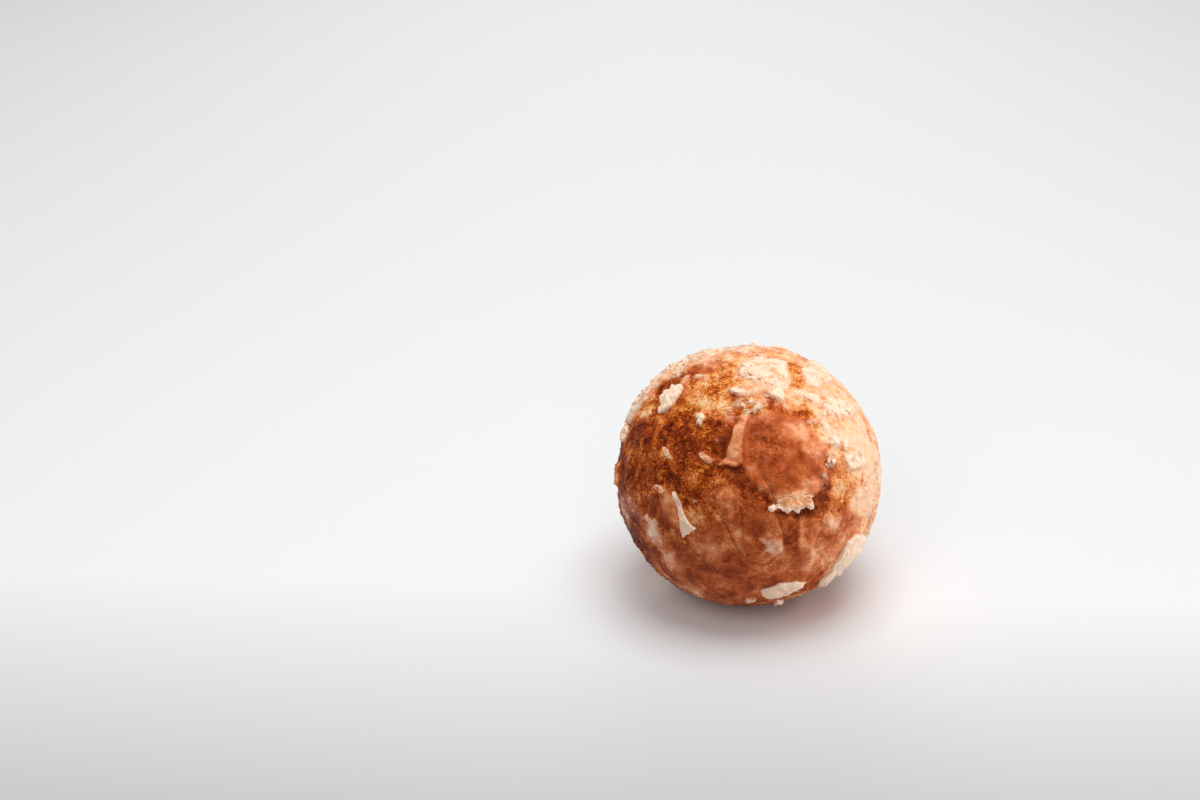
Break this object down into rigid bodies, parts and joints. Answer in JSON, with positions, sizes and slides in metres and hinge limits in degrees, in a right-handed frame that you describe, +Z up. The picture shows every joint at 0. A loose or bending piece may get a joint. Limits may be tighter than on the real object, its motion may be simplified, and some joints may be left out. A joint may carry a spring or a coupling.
{
  "type": "doughnut hole",
  "caption": "Round glazed doughnut hole: a fried ball of cake dough with a craggy brown crust under cracked, flaking sugar glaze.",
  "frame": {"origin": "centre of the small flat spot that the ball rests on, under the middle of its box", "axes": "+Z up, the side shown in the picture faces -Y, +X to the right as seen from the front"},
  "size_m": [0.0374, 0.0376, 0.0364],
  "materials": {
    "glazed_crust": "fried brown crust under thin cracked sugar glaze, glossy and rough in patches, with ivory flakes"
  },
  "bodies": {
    "root": {"doughnut_hole": "glazed_crust"}
  },
  "joints": []
}
